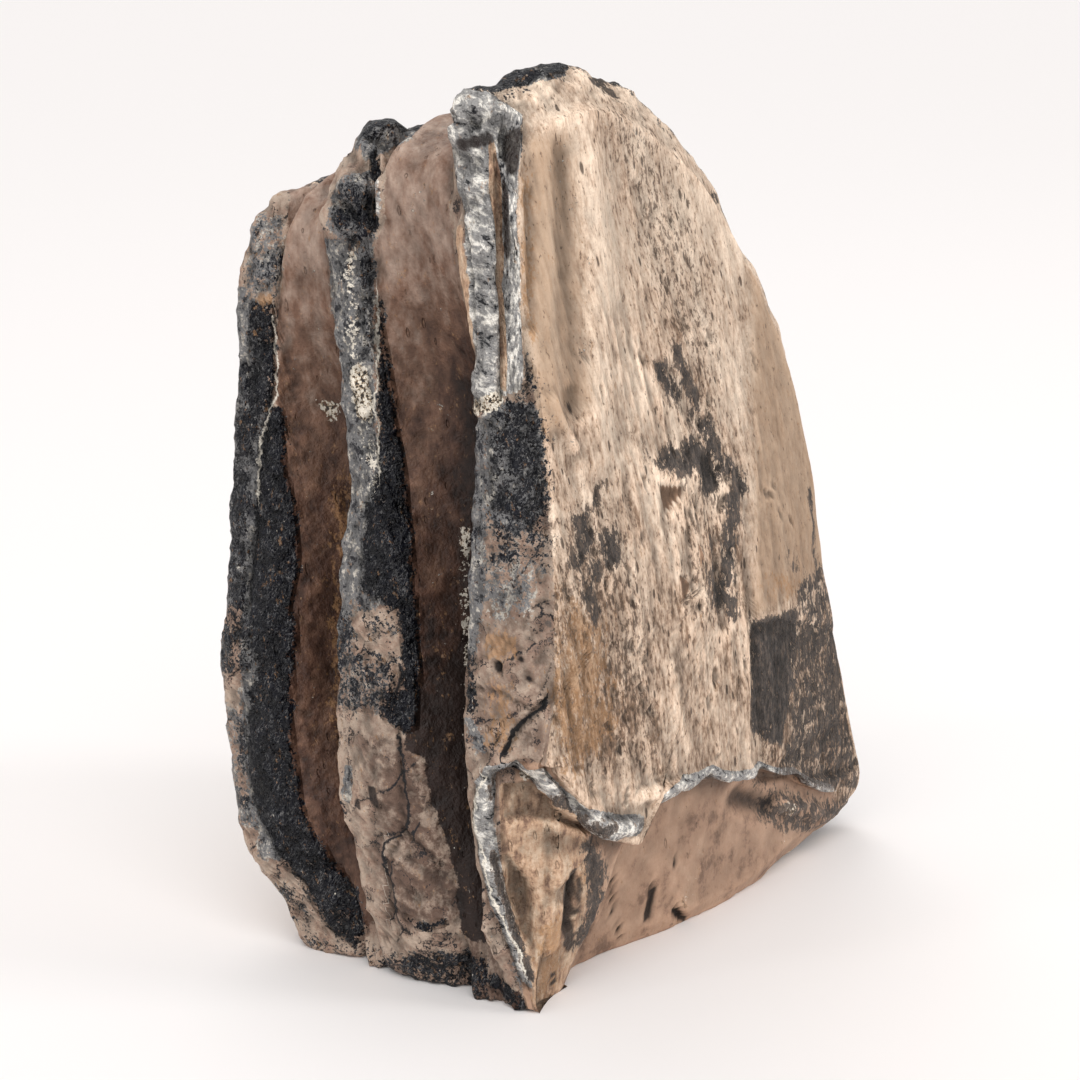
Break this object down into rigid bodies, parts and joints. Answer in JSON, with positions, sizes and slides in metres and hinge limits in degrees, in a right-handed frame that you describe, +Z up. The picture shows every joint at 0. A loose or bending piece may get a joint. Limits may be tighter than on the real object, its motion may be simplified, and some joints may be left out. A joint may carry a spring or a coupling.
{
  "type": "fossil mammoth molar fragment",
  "caption": "Fossil proboscidean cheek tooth fragment: upright ridged enamel plates joined by cementum, standing on their broken root end.",
  "frame": {"origin": "middle of the part's box in plan, at the level of the surface that the broken root end stands on", "axes": "+Z up from the root end to the crown, -Y out of the broad front face, -X out of the near edge with the ridges"},
  "size_m": [0.089, 0.0532, 0.1103],
  "materials": {
    "fossil_tooth": "tan fossil cementum with fine upright striation and pores, blue-black wrinkled enamel on the ridges, red-brown grooves and orange-tan dentine in the break"
  },
  "bodies": {
    "root": {"molar": "fossil_tooth"}
  },
  "joints": []
}
